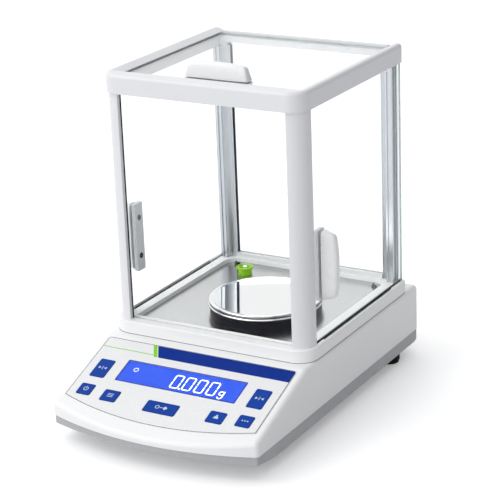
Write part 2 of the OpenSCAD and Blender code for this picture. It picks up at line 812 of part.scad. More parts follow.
bottom_shell();
top_housing();
chamber_base();
keypad_overlay();
display_window();
lcd_module();
keypad_board();
key_switches();
main_board();
chamber_floor();
floor_screws();
draft_ring();
level_housing();
level_vial();
front_left_post();
front_right_post();
rear_left_post();
rear_right_post();
top_frame();
front_glass();
rear_glass();
front_glass_seals();
rear_glass_seals();
rear_sill();
left_track();
right_track();
track_end_caps();
left_door_glass();
left_door_handle();
left_door_clamp();
left_door_screws();
right_door_glass();
right_door_handle();
right_door_clamp();
right_door_screws();
top_door_glass();
top_door_handle();
top_door_edge_strip();
weighing_pan();
pan_carrier();
load_column();
cell_base();
magnet_pot();
cell_lever();
voice_coil();
key_tare_left();
key_power();
key_function();
key_unit();
key_calibrate();
key_count();
key_tare_right();
left_foot_pad();
left_foot_screw();
right_foot_pad();
right_foot_screw();
front_feet();
power_socket();
serial_port();
shell_screws();
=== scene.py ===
"""Looks of an analytical balance: its plastics, metals, panes, printed panel, display and pan.

The pieces are made in millimetres and become metres in mesh_piece(). The camera, the lights and the
floor are in metres. Places come from the CAD frame. The panel's and the screws' values below repeat
the CAD source, which this script can't read.
"""

import json
import math

import bmesh
import bpy
from mathutils import Matrix, Vector


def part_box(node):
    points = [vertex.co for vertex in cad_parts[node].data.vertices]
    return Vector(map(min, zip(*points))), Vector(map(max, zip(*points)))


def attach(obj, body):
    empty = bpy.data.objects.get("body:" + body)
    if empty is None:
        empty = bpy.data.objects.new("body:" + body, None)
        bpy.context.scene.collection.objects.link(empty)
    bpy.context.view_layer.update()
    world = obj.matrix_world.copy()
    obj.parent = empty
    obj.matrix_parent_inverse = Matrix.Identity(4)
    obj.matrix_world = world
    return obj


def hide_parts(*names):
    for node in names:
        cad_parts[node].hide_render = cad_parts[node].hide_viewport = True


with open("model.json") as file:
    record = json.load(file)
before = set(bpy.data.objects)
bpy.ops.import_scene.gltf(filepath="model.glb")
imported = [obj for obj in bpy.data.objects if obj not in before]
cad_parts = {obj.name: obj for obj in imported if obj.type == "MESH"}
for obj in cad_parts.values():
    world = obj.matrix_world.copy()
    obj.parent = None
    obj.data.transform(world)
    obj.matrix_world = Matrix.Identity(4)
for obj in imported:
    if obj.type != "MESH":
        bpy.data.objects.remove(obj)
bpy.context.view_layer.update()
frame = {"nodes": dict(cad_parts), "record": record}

MM = 0.001

# The sloped control panel: its tilt, and where it meets the deck.
PANEL_SLOPE = math.radians(19.8)
PANEL_RUN, PANEL_RISE = math.cos(PANEL_SLOPE), math.sin(PANEL_SLOPE)
PANEL_TOP_Y = -63.2
DECK_Z = 71.5

# Heights along the panel's normal. KEY_TOP lies 0.01 under the caps' tops, so that no mark floats.
FILM_TOP = 0.8
KEY_TOP = 1.14
LCD_TOP = -0.2
WINDOW_TOP = 0.75

# The display: its middle up the slope, and its half width and half height.
LCD_V = -44.2
LCD_HALF = (63.5, 14.4)

# Head radii of the door screws and of the housing screws.
SCREW_HEAD_R = 2.6
SHELL_HEAD_R = 3.1

# The middle part of a noise's values, which colours and roughness stretch to their full range.
NOISE_LOW, NOISE_HIGH = 0.3, 0.7


# ---------------------------------------------------------------- camera, floor and lights


def add_camera():
    """The photograph's view: a long lens, above and to the right of the front."""
    azimuth, elevation, roll = (math.radians(a) for a in (30.21, 19.39, -2.19))
    distance = 1.811
    target = Vector((-0.03754, 0.09314, 0.11356))
    flat = math.cos(elevation)
    back = Vector((math.sin(azimuth) * flat, -math.cos(azimuth) * flat, math.sin(elevation)))
    right = Vector((math.cos(azimuth), math.sin(azimuth), 0))
    up = back.cross(right)
    across = right * math.cos(roll) + up * math.sin(roll)
    upward = up * math.cos(roll) - right * math.sin(roll)
    camera = bpy.data.objects.new("camera", bpy.data.cameras.new("camera"))
    camera.data.lens = 131.28
    camera.data.sensor_width = 36
    camera.matrix_world = Matrix.Translation(target + back * distance) @ Matrix(
        (across, upward, back)
    ).transposed().to_4x4()
    bpy.context.scene.collection.objects.link(camera)
    bpy.context.scene.camera = camera


def add_area_light(name, place, aim, size, watts):
    """A soft rectangular lamp that points at `aim`."""
    lamp = bpy.data.lights.new(name, "AREA")
    lamp.shape = "RECTANGLE"
    lamp.size, lamp.size_y = size
    lamp.energy = watts
    obj = bpy.data.objects.new(name, lamp)
    obj.location = place
    obj.rotation_euler = (Vector(aim) - Vector(place)).to_track_quat("-Z", "Y").to_euler()
    bpy.context.scene.collection.objects.link(obj)


def add_world():
    """A white tent, bright at the left, above and in front, and dimmer to the right and back."""
    dim_side = (0.82, 0.57, -0.05)
    bright, dim, darkest = (1.0, 1.0, 1.0, 1), (0.50, 0.505, 0.52, 1), (0.16, 0.165, 0.175, 1)
    bright_until, dim_at = 0.5, 0.78
    strength = 1.03
    world = bpy.data.worlds.new("studio")
    world.use_nodes = True
    nodes, links = world.node_tree.nodes, world.node_tree.links
    direction = nodes.new("ShaderNodeTexCoord").outputs["Generated"]
    along = nodes.new("ShaderNodeVectorMath")
    along.operation = "DOT_PRODUCT"
    along.inputs[1].default_value = dim_side
    fade = nodes.new("ShaderNodeValToRGB")
    span = nodes.new("ShaderNodeMapRange")
    span.inputs["From Min"].default_value = -1
    links.new(direction, along.inputs[0])
    links.new(along.outputs["Value"], span.inputs["Value"])
    links.new(span.outputs["Result"], fade.inputs["Fac"])
    stops = fade.color_ramp.elements
    stops[0].color = bright
    stops[1].color = darkest
    stops.new(bright_until).color = bright
    stops.new(dim_at).color = dim
    links.new(fade.outputs["Color"], nodes["Background"].inputs["Color"])
    nodes["Background"].inputs["Strength"].default_value = strength
    bpy.context.scene.world = world


def add_studio():
    """The world, three soft lamps aimed at the balance, and a wide white floor."""
    add_world()
    aim = (0, 0, 0.15)
    lamps = (
        ("key_light", (-1.3, -1.1, 1.9), (1.2, 1.2), 10),
        ("front_light", (-0.5, -2.2, 0.9), (1.4, 0.8), 8),
        ("back_light", (-0.8, 2.0, 1.6), (1.4, 1.0), 4),
    )
    for name, place, size, watts in lamps:
        add_area_light(name, place, aim, size, watts)
    mesh = bpy.data.meshes.new("floor")
    reach = 9
    corners = [(-reach, -reach, 0), (reach, -reach, 0), (reach, reach, 0), (-reach, reach, 0)]
    mesh.from_pydata(corners, [], [(0, 1, 2, 3)])
    floor = bpy.data.objects.new("floor", mesh)
    paint = Paint("floor_white", roughness=0.75, glow=(1, 1, 1), glow_strength=0.22)
    paint.color_noise(2, (0.92, 0.92, 0.925), (0.94, 0.94, 0.945))
    paint.dim_bounce((0.6, 0.6, 0.61))
    mesh.materials.append(paint.material)
    bpy.context.scene.collection.objects.link(floor)


# ---------------------------------------------------------------- materials


class Paint:
    """One Principled material, built up from procedural layers in object space."""

    SOCKETS = {
        "color": "Base Color",
        "roughness": "Roughness",
        "metallic": "Metallic",
        "ior": "IOR",
        "specular": "Specular IOR Level",
        "coat": "Coat Weight",
        "coat_roughness": "Coat Roughness",
        "clear": "Transmission Weight",
        "glow": "Emission Color",
        "glow_strength": "Emission Strength",
        "anisotropy": "Anisotropic",
    }

    def __init__(self, name, **values):
        self.material = bpy.data.materials.new(name)
        self.material.use_nodes = True
        self.nodes = self.material.node_tree.nodes
        self.links = self.material.node_tree.links
        self.shader = self.nodes["Principled BSDF"]
        self.height = None
        for key, value in values.items():
            if isinstance(value, tuple) and len(value) == 3:
                value = (*value, 1)
            self.shader.inputs[self.SOCKETS[key]].default_value = value
        self.place = self.nodes.new("ShaderNodeTexCoord").outputs["Object"]

    def noise(self, scale, stretch=(1, 1, 1), detail=3.0):
        """Noise with about `scale` features a metre, stretched along the axes."""
        mapping = self.nodes.new("ShaderNodeMapping")
        mapping.inputs["Scale"].default_value = stretch
        noise = self.nodes.new("ShaderNodeTexNoise")
        noise.inputs["Scale"].default_value = scale
        noise.inputs["Detail"].default_value = detail
        self.links.new(self.place, mapping.inputs["Vector"])
        self.links.new(mapping.outputs["Vector"], noise.inputs["Vector"])
        return noise.outputs["Fac"]

    def blend_colors(self, factor, low, high):
        """A colour that goes from `low` to `high` with a noise."""
        ramp = self.nodes.new("ShaderNodeValToRGB")
        ramp.color_ramp.elements[0].position = NOISE_LOW
        ramp.color_ramp.elements[0].color = (*low, 1)
        ramp.color_ramp.elements[1].position = NOISE_HIGH
        ramp.color_ramp.elements[1].color = (*high, 1)
        self.links.new(factor, ramp.inputs["Fac"])
        return ramp.outputs["Color"]

    def color_noise(self, scale, low, high, **noise_settings):
        factor = self.noise(scale, **noise_settings)
        self.links.new(self.blend_colors(factor, low, high), self.shader.inputs["Base Color"])

    def rough_noise(self, scale, low, high, **noise_settings):
        spread = self.nodes.new("ShaderNodeMapRange")
        spread.inputs["From Min"].default_value = NOISE_LOW
        spread.inputs["From Max"].default_value = NOISE_HIGH
        spread.inputs["To Min"].default_value = low
        spread.inputs["To Max"].default_value = high
        self.links.new(self.noise(scale, **noise_settings), spread.inputs["Value"])
        self.links.new(spread.outputs["Result"], self.shader.inputs["Roughness"])

    def bump(self, height, depth, strength=1.0):
        """Adds a relief of `depth` millimetres; several reliefs stack."""
        node = self.nodes.new("ShaderNodeBump")
        node.inputs["Strength"].default_value = strength
        node.inputs["Distance"].default_value = depth * MM
        self.links.new(height, node.inputs["Height"])
        if self.height is not None:
            self.links.new(self.height, node.inputs["Normal"])
        self.height = node.outputs["Normal"]
        self.links.new(self.height, self.shader.inputs["Normal"])

    def swap_shader(self, ray, other):
        """Gives rays of one kind another shader than the material's own."""
        path = self.nodes.new("ShaderNodeLightPath")
        mix = self.nodes.new("ShaderNodeMixShader")
        self.links.new(path.outputs[ray], mix.inputs["Fac"])
        self.links.new(self.shader.outputs["BSDF"], mix.inputs[1])
        self.links.new(other.outputs["BSDF"], mix.inputs[2])
        self.links.new(mix.outputs["Shader"], self.nodes["Material Output"].inputs["Surface"])

    def dim_bounce(self, color):
        """Keeps a bright floor from lighting the object's sides too much from below."""
        dim = self.nodes.new("ShaderNodeBsdfDiffuse")
        dim.inputs["Color"].default_value = (*color, 1)
        self.swap_shader("Is Diffuse Ray", dim)

    def pass_lamps(self):
        """Lets light from lamps through a pane, as thin real glass does."""
        self.swap_shader("Is Shadow Ray", self.nodes.new("ShaderNodeBsdfTransparent"))


def scaled(color, factor):
    return tuple(c * factor for c in color)


def moulded_plastic(name, color, roughness, grain=0.02, shade=0.02, coat=0.0, gloss=0.5):
    """Plastic with a fine spark-eroded grain, faint flow marks and slight gloss changes."""
    paint = Paint(name, color=color, coat=coat, coat_roughness=0.25, specular=gloss)
    paint.color_noise(9, scaled(color, 1 - shade), color, detail=4)
    paint.rough_noise(60, roughness - 0.05, roughness + 0.05, detail=5)
    paint.bump(paint.noise(2600, detail=2), grain)
    paint.bump(paint.noise(35, detail=2), 0.05, strength=0.3)
    return paint.material


def rubber(name, color):
    """Moulded rubber: matt, with a coarse uneven grain."""
    paint = Paint(name, color=color, specular=0.2)
    paint.color_noise(40, scaled(color, 0.8), scaled(color, 1.3))
    paint.rough_noise(300, 0.6, 0.8)
    paint.bump(paint.noise(3000), 0.03)
    return paint.material


def brushed_metal(name, color, along, roughness=0.3, depth=0.006, spread=0.08, shade=0.12):
    """Metal with long parallel scratches along one axis."""
    stretch = tuple(0.02 if axis == along else 1.0 for axis in "xyz")
    paint = Paint(name, color=color, metallic=1.0, anisotropy=0.4)
    paint.color_noise(2600, scaled(color, 1 - shade), color, stretch=stretch, detail=5)
    paint.rough_noise(900, roughness - spread, roughness + spread, stretch=stretch, detail=4)
    paint.bump(paint.noise(2200, stretch=stretch, detail=5), depth)
    return paint.material


def satin_metal(name, color, roughness):
    """Anodised aluminium: an even satin with very faint drawing lines."""
    paint = Paint(name, color=color, metallic=1.0)
    paint.color_noise(30, scaled(color, 0.97), color, detail=4)
    paint.rough_noise(50, roughness - 0.02, roughness + 0.02, detail=4)
    paint.bump(paint.noise(3000, detail=1), 0.0006)
    return paint.material


def polished_metal(name, color, roughness):
    """Mirror steel with very faint polishing haze and hairline marks."""
    paint = Paint(name, color=color, metallic=1.0)
    paint.rough_noise(25, roughness, roughness + 0.03, detail=6)
    paint.color_noise(60, scaled(color, 0.985), color)
    paint.bump(paint.noise(500, stretch=(1, 0.05, 1), detail=2), 0.0006)
    return paint.material


def pane_glass():
    """Clear panes. Their index is below glass's, so that reflections don't veil what is behind."""
    paint = Paint("pane_glass", color=(0.99, 0.997, 0.995), ior=1.12, clear=1.0)
    paint.rough_noise(12, 0.0, 0.012, detail=5)
    paint.pass_lamps()
    return paint.material


def pane_edge():
    """Ground edge of the panes: pale green and frosted."""
    paint = Paint("pane_edge", color=(0.55, 0.70, 0.68), ior=1.45, clear=0.35)
    paint.color_noise(120, (0.46, 0.62, 0.60), (0.66, 0.79, 0.77), detail=5)
    paint.rough_noise(900, 0.25, 0.45)
    paint.bump(paint.noise(2500), 0.02)
    return paint.material


def window_film():
    """The clear gloss window over the display."""
    paint = Paint("window_film", color=(0.93, 0.96, 1.0), ior=1.12, clear=1.0)
    paint.rough_noise(80, 0.02, 0.06)
    paint.pass_lamps()
    return paint.material


def backlit_blue():
    """Display ground: an even bright blue."""
    base = (0.01, 0.03, 0.2)
    paint = Paint("backlit_blue", color=base, roughness=0.5, ior=1.15, glow_strength=0.7)
    dim, bright = (0.045, 0.125, 0.93), (0.055, 0.145, 0.98)
    glow = paint.blend_colors(paint.noise(30, detail=4), dim, bright)
    paint.links.new(glow, paint.shader.inputs["Emission Color"])
    paint.bump(paint.noise(3000), 0.004)
    return paint.material


def backlit_and_painted_glint_white():
    """White that glows: the display's backlit segments, and the level's bubble, whose glow is a
    painted highlight.
    """
    paint = Paint("backlit_and_painted_glint_white", color=(0.8, 0.85, 1.0), roughness=0.3, glow_strength=1.0)
    glow = paint.blend_colors(paint.noise(400), (0.92, 0.95, 1.0), (1.0, 1.0, 1.0))
    paint.links.new(glow, paint.shader.inputs["Emission Color"])
    return paint.material


def printed(name, color):
    """Screen ink: flat colour with a trace of mesh marks and grain."""
    paint = Paint(name, color=color, specular=0.08)
    paint.color_noise(700, scaled(color, 0.93), color, detail=2)
    paint.rough_noise(200, 0.38, 0.5)
    paint.bump(paint.noise(2800), 0.003)
    return paint.material


def level_green():
    """Translucent green plastic, with a faint glow in place of the light that it passes on."""
    glow = (0.30, 0.60, 0.002)
    paint = Paint("level_green", clear=0.3, ior=1.4, glow=glow, glow_strength=0.10)
    paint.color_noise(300, (0.22, 0.56, 0.002), (0.42, 0.78, 0.004), detail=2)
    paint.rough_noise(400, 0.06, 0.14)
    return paint.material


def solder_mask():
    """Glossy green lacquer over the relief of a board's tracks."""
    paint = Paint("solder_mask", color=(0.01, 0.14, 0.06), coat=0.6)
    paint.color_noise(180, (0.008, 0.11, 0.05), (0.015, 0.18, 0.08), detail=6)
    paint.rough_noise(90, 0.3, 0.42)
    paint.bump(paint.noise(420, detail=1), 0.03)
    return paint.material


def copper_winding():
    """Enamelled wire in close turns round Z."""
    paint = Paint("copper_winding", color=(0.62, 0.27, 0.09), metallic=0.8)
    paint.color_noise(1800, (0.45, 0.18, 0.05), (0.75, 0.36, 0.14), stretch=(0.1, 0.1, 1))
    paint.rough_noise(900, 0.25, 0.4)
    paint.bump(paint.noise(1800, stretch=(0.1, 0.1, 1), detail=1), 0.06)
    return paint.material


MATERIALS = {
    "white_shell": moulded_plastic("white_shell", (0.84, 0.845, 0.85), 0.36),
    "white_frame": moulded_plastic(
        "white_frame", (0.72, 0.73, 0.75), 0.32, grain=0.012, coat=0.1
    ),
    "white_handle": moulded_plastic(
        "white_handle", (0.82, 0.825, 0.835), 0.3, grain=0.01, coat=0.3
    ),
    "grey_shell": moulded_plastic(
        "grey_shell", (0.42, 0.435, 0.45), 0.5, grain=0.035, shade=0.05
    ),
    "grey_clamp": moulded_plastic("grey_clamp", (0.62, 0.63, 0.64), 0.35),
    "overlay_film": printed("overlay_film", (0.80, 0.805, 0.815)),
    "clear_window": window_film(),
    "blue_lcd": backlit_blue(),
    "blue_key": moulded_plastic("blue_key", (0.004, 0.050, 0.33), 0.42, shade=0.12, gloss=0.1),
    "black_plastic": moulded_plastic(
        "black_plastic", (0.005, 0.005, 0.010), 0.35, shade=0.2, gloss=0.1
    ),
    "black_seal": rubber("black_seal", (0.010, 0.013, 0.014)),
    "foot_rubber": rubber("foot_rubber", (0.006, 0.006, 0.006)),
    "brushed_floor": brushed_metal(
        "brushed_floor", (0.49, 0.495, 0.50), "x", 0.25, depth=0.0007, spread=0.015, shade=0.03
    ),
    "mirror_steel": polished_metal("mirror_steel", (0.92, 0.92, 0.925), 0.02),
    "screw_steel": polished_metal("screw_steel", (0.55, 0.55, 0.56), 0.16),
    "anodised_post": satin_metal("anodised_post", (0.54, 0.57, 0.60), 0.3),
    "machined_aluminium": brushed_metal("machined_aluminium", (0.7, 0.71, 0.72), "y", 0.36),
    "magnet_iron": brushed_metal("magnet_iron", (0.2, 0.2, 0.21), "x", 0.45),
    "coil_brass": copper_winding(),
    "float_glass": pane_glass(),
    "green_vial": level_green(),
    "circuit_board": solder_mask(),
    "port_metal": brushed_metal("port_metal", (0.55, 0.57, 0.6), "x", 0.32),
}
PANE_EDGE = pane_edge()
GLOW_AND_GLINT_WHITE = backlit_and_painted_glint_white()
INK_GREEN = printed("ink_green", (0.22, 0.66, 0.03))
INK_BLUE = printed("ink_blue", (0.002, 0.028, 0.26))
# Dark grey painted shade along the overlay film's edge.
FILM_EDGE_SHADE_GREY = printed("painted_film_edge_shade", (0.05, 0.05, 0.05))
INK_PALE = printed("ink_pale", (0.55, 0.62, 0.78))
# Navy painted shade for the walls of the display window's recess.
RECESS_SHADE_NAVY = printed("painted_recess_shade_navy", (0.006, 0.012, 0.10))
# A darker copy of the pan's steel: painted reflection on its upper edge.
PAN_REFLECTION_STEEL = polished_metal("painted_pan_reflection_steel", (0.38, 0.38, 0.40), 0.05)
# Darker steel: the small screws' own colour, and painted shade and reflection on the pan's groove
# and lower skirt.
DARK_SCREW_STEEL_AND_PAN_SHADE = polished_metal("dark_screw_steel_and_painted_pan_shade", (0.12, 0.12, 0.12), 0.2)
# Grey painted shadow for the line where the plinth meets the deck.
SEAM_SHADOW_GREY = printed("painted_seam_shadow", (0.16, 0.165, 0.17))


# ---------------------------------------------------------------- mesh building


def mesh_piece(name, shape, materials, body, sharp=35):
    """Makes a piece from a bmesh in millimetres and rides it on its body."""
    bmesh.ops.recalc_face_normals(shape, faces=shape.faces)
    bmesh.ops.scale(shape, vec=(MM, MM, MM), verts=shape.verts)
    mesh = bpy.data.meshes.new(name)
    shape.to_mesh(mesh)
    shape.free()
    for material in materials:
        mesh.materials.append(material)
    mesh.shade_smooth()
    mesh.set_sharp_from_angle(angle=math.radians(sharp))
    obj = bpy.data.objects.new(name, mesh)
    bpy.context.scene.collection.objects.link(obj)
    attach(obj, body)
    return obj


def upright(x, y, z):
    """The placing of an outline that lies flat, in the balance's own frame."""
    return (x, y, z)


def add_prism(shape, outline, low, high, place=upright):
    """Adds an extruded outline; `place` turns its (x, y, height) into the balance's frame."""
    bottom = [shape.verts.new(place(x, y, low)) for x, y in outline]
    top = [shape.verts.new(place(x, y, high)) for x, y in outline]
    shape.faces.new(bottom[::-1])
    shape.faces.new(top)
    count = len(outline)
    for i in range(count):
        j = (i + 1) % count
        shape.faces.new((bottom[i], bottom[j], top[j], top[i]))


def add_band(shape, outer, inner, low, high, place=upright):
    """Adds a closed band between two outlines with the same number of points."""
    rings = [
        [shape.verts.new(place(x, y, z)) for x, y in outline]
        for outline, z in ((outer, low), (outer, high), (inner, high), (inner, low))
    ]
    count = len(outer)
    for k in range(4):
        a, b = rings[k], rings[(k + 1) % 4]
        for i in range(count):
            j = (i + 1) % count
            shape.faces.new((a[i], a[j], b[j], b[i]))


def add_lathe(shape, profile, centre, steps):
    """Adds a solid of revolution from (radius, z) points; ends at radius 0 close to a point."""
    turn = [2 * math.pi * i / steps for i in range(steps)]
    x, y = centre[0], centre[1]
    rings = []
    for radius, z in profile:
        angles = turn if radius > 0 else turn[:1]
        points = [(x + radius * math.cos(a), y + radius * math.sin(a), z) for a in angles]
        rings.append([shape.verts.new(point) for point in points])
    for a, b in zip(rings, rings[1:]):
        for i in range(steps):
            j = (i + 1) % steps
            corners = [a[i % len(a)], a[j % len(a)], b[j % len(b)], b[i % len(b)]]
            unique = list(dict.fromkeys(corners))
            if len(unique) > 2:
                shape.faces.new(unique)


def arc(centre, radius, start, end, steps=8):
    """Points of an arc, in degrees."""
    angles = [math.radians(start + (end - start) * i / steps) for i in range(steps + 1)]
    return [(centre[0] + radius * math.cos(a), centre[1] + radius * math.sin(a)) for a in angles]


def round_rect(low, high, radii):
    """A rectangle with a radius for each corner, from the lower left one anticlockwise."""
    (x0, y0), (x1, y1) = low, high
    a, b, c, d = radii
    return [
        *arc((x0 + a, y0 + a), a, 180, 270),
        *arc((x1 - b, y0 + b), b, 270, 360),
        *arc((x1 - c, y1 - c), c, 0, 90),
        *arc((x0 + d, y1 - d), d, 90, 180),
    ]


def on_panel(x, v, w):
    """A point of the sloped panel: x across, v up the slope from its top edge, w outwards."""
    y = PANEL_TOP_Y + v * PANEL_RUN - w * PANEL_RISE
    return (x, y, DECK_Z + v * PANEL_RISE + w * PANEL_RUN)


def box_mm(node):
    """A CAD node's lowest and highest corners, in millimetres."""
    low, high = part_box(node)
    return low / MM, high / MM


def lathe_piece(name, profiles, centre, steps, materials, body):
    """Makes a piece of one or more solids of revolution."""
    shape = bmesh.new()
    for profile in profiles:
        add_lathe(shape, profile, centre, steps)
    return mesh_piece(name, shape, materials, body)


# ---------------------------------------------------------------- panes


def make_pane(node, body):
    """A pane with polished faces and ground, chamfered edges."""
    chamfer, face_on = 0.45, 0.99
    low, high = box_mm(node)
    size = high - low
    thin = min(range(3), key=lambda i: size[i])
    shape = bmesh.new()
    corners = [(low.x, low.y), (high.x, low.y), (high.x, high.y), (low.x, high.y)]
    add_prism(shape, corners, low.z, high.z)
    bmesh.ops.recalc_face_normals(shape, faces=shape.faces)
    bmesh.ops.bevel(shape, geom=shape.edges[:], offset=chamfer, segments=1, affect="EDGES")
    shape.normal_update()
    for face in shape.faces:
        face.material_index = 0 if abs(face.normal[thin]) > face_on else 1
    materials = [MATERIALS["float_glass"], PANE_EDGE]
    obj = mesh_piece(node + "_pane", shape, materials, body, sharp=20)
    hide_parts(node)


# ---------------------------------------------------------------- panel prints, display and keys


def add_print(
    name, material, outlines, w=FILM_TOP, body="housing", thick=0.05
):
    """Adds printed shapes that stand `thick` millimetres above height w of the panel."""
    shape = bmesh.new()
    for outline in outlines:
        add_prism(shape, outline, w, w + thick, on_panel)
    mesh_piece(name, shape, [material], body)


def overlay_outline(inset):
    """The film's edge: three straight sides with rounded upper corners, and a bowed lower one."""
    half_width, top_v, side_v, bulge, corner_r = 100, -5.3, -87.3, 16, 3
    half, top, corner = half_width - inset, top_v - inset, corner_r - inset
    radius = (half_width * half_width + bulge * bulge) / (2 * bulge) - inset
    middle = side_v - bulge + radius + inset
    reach = math.degrees(math.asin(half / radius))
    bottom = arc((0, middle), radius, 270 - reach, 270 + reach, 48)
    return [
        *bottom,
        *arc((half - corner, top - corner), corner, 0, 90, 6),
        *arc((corner - half, top - corner), corner, 90, 180, 6),
    ]


def make_panel_prints():
    """A slanted green bar, a blue strip to its right, a thin line to its left, and painted edge
    shade.
    """
    low, high = -20.6, -6.0
    slant = 8.2
    bar_x, bar_w, gap = -50.6, 4.0, 0.9
    strip_x = bar_x + bar_w + gap
    outer_x = 99.4
    line_low, line_high = -18.8, -17.9
    line_low_end, line_high_end = bar_x + slant * 0.84, bar_x + slant * 0.8
    green_bar = [
        (bar_x + slant, low),
        (bar_x + slant + bar_w, low),
        (bar_x + bar_w, high),
        (bar_x, high),
    ]
    blue_strip = [(strip_x + slant, low), (outer_x, low), (outer_x, high), (strip_x, high)]
    green_line = [
        (-outer_x, line_low),
        (line_low_end, line_low),
        (line_high_end, line_high),
        (-outer_x, line_high),
    ]
    add_print("green_bar", INK_GREEN, [green_bar])
    add_print("blue_strip", INK_BLUE, [blue_strip])
    add_print("green_line", INK_GREEN, [green_line])
    # The dark band round the film's edge is painted shade, not ink.
    outer, inner = overlay_outline(0.02), overlay_outline(0.55)
    shape = bmesh.new()
    add_band(shape, outer, inner, FILM_TOP - 0.3, FILM_TOP + 0.03, on_panel)
    mesh_piece("film_edge_painted_shade", shape, [FILM_EDGE_SHADE_GREY], "housing")


def rectangle(x0, v0, x1, v1):
    """The outline of a rectangle between two opposite corners."""
    return [(x0, v0), (x1, v0), (x1, v1), (x0, v1)]


def segment(x0, v0, x1, v1, width):
    """A bar with pointed ends, as in a seven-segment digit."""
    along = Vector((x1 - x0, v1 - v0)).normalized()
    side = Vector((-along.y, along.x)) * width / 2
    tip = along * width / 2
    a, b = Vector((x0, v0)), Vector((x1, v1))
    points = [a, a + tip - side, b - tip - side, b, b - tip + side, a + tip + side]
    return [tuple(p) for p in points]


def zero_digit(x, v, width, height, stroke):
    """The six outer segments of a seven-segment zero; x and v are its lower left corner."""
    gap = 0.16
    mid = v + height / 2
    bars = [
        ((x + gap, v), (x + width - gap, v)),
        ((x + gap, v + height), (x + width - gap, v + height)),
    ]
    for side in (x, x + width):
        bars.append(((side, v + gap), (side, mid - gap)))
        bars.append(((side, mid + gap), (side, v + height - gap)))
    return [segment(*a, *b, stroke) for a, b in bars]


def ring_outlines(centre, outer, inner, start=0, end=360, steps=28):
    """A ring as short flat pieces, so that each is a simple outline."""
    outside = arc(centre, outer, start, end, steps)
    inside = arc(centre, inner, start, end, steps)
    return [[outside[i], outside[i + 1], inside[i + 1], inside[i]] for i in range(steps)]


def make_display():
    """A navy band round the window, painted shade of its recess walls, a zero reading in grams and
    the stability ring.
    """
    x, v = LCD_HALF
    rim, edge = 0.27, 0.95
    # The navy band is painted shade: it darkens the window's edges where the recess walls shade the
    # display.
    outer = round_rect((-x + rim, LCD_V - v + rim), (x - rim, LCD_V + v - rim), (0.7,) * 4)
    inner = round_rect((-x + edge, LCD_V - v + edge), (x - edge, LCD_V + v - edge), (0.3,) * 4)
    shape = bmesh.new()
    add_band(shape, outer, inner, WINDOW_TOP + 0.005, FILM_TOP - 0.01, on_panel)
    mesh_piece("display_recess_shade", shape, [RECESS_SHADE_NAVY], "housing")

    first, pitch, base, width, height, stroke = -7.4, 12.6, -53.3, 8.1, 16.2, 1.4
    marks = []
    for i in range(4):
        marks += zero_digit(first + i * pitch, base, width, height, stroke)
    dot_x, dot = first + width + 2.3, 0.9
    marks.append(rectangle(dot_x - dot, base - dot, dot_x + dot, base + dot))

    unit_x, unit_v = 45.3, -48.8
    bowl, hollow, stem_top, stem_end, hook_v = 2.9, 1.7, 3, 4.4, 4.3
    marks += ring_outlines((unit_x, unit_v), bowl, hollow)
    marks.append(rectangle(unit_x + hollow, unit_v + stem_top, unit_x + bowl, unit_v - stem_end))
    marks += ring_outlines((unit_x, unit_v - hook_v), bowl, hollow, 190, 360, 14)

    stability_ring = (-50.3, -40.3)
    marks += ring_outlines(stability_ring, 2.5, 2.0)
    add_print("display_reading", GLOW_AND_GLINT_WHITE, marks, w=LCD_TOP + 0.02, thick=0.06)


def polygon(centre, radius, corners, turn=90):
    """A regular polygon whose first corner is at `turn` degrees."""
    angles = [math.radians(turn + 360 * i / corners) for i in range(corners)]
    return [(centre[0] + radius * math.cos(a), centre[1] + radius * math.sin(a)) for a in angles]


def key_centre(node):
    """A key's middle on the panel, as x and v."""
    low, high = box_mm(node)
    middle = (low + high) / 2
    v = (middle.y - PANEL_TOP_Y) * PANEL_RUN + (middle.z - DECK_Z) * PANEL_RISE
    return middle.x, v


def make_key_marks():
    """Plain pictograms in place of words: tare, power, function, unit, calibrate and count."""
    half_line = 0.35

    def tare(x, v):
        left = [(x - 4.2, v + 1.6), (x - 4.2, v - 1.6), (x - 1.4, v)]
        right = [(x + 4.2, v - 1.6), (x + 4.2, v + 1.6), (x + 1.4, v)]
        return [left, right, rectangle(x - half_line, v - 2.2, x + half_line, v + 2.2)]

    def power(x, v):
        open_ring = ring_outlines((x, v), 2.6, 1.9, 120, 420, 20)
        return [*open_ring, rectangle(x - half_line, v, x + half_line, v + 3.0)]

    def function(x, v):
        lines = (v - 1.8, v, v + 1.8)
        return [rectangle(x - 3, k - half_line, x + 3, k + half_line) for k in lines]

    def unit(x, v):
        ring = ring_outlines((x - 4, v), 2.2, 1.5)
        dash = rectangle(x - 1.2, v - half_line, x + 1.2, v + half_line)
        return [*ring, dash, polygon((x + 4, v), 2.4, 4, 0)]

    def calibrate(x, v):
        weight = [(x - 2.6, v - 2.2), (x + 2.6, v - 2.2), (x + 1.6, v + 0.8), (x - 1.6, v + 0.8)]
        return [weight, polygon((x, v + 1.7), 1.0, 12)]

    def count(x, v):
        return [polygon((x + k, v), 0.8, 12) for k in (-2.6, 0, 2.6)]

    marks = {
        "key_tare_left": tare,
        "key_tare_right": tare,
        "key_power": power,
        "key_function": function,
        "key_unit": unit,
        "key_calibrate": calibrate,
        "key_count": count,
    }
    for node, draw in marks.items():
        outlines = draw(*key_centre(node))
        add_print(node + "_mark", INK_PALE, outlines, KEY_TOP, node + "_body", 0.04)


# ---------------------------------------------------------------- handles


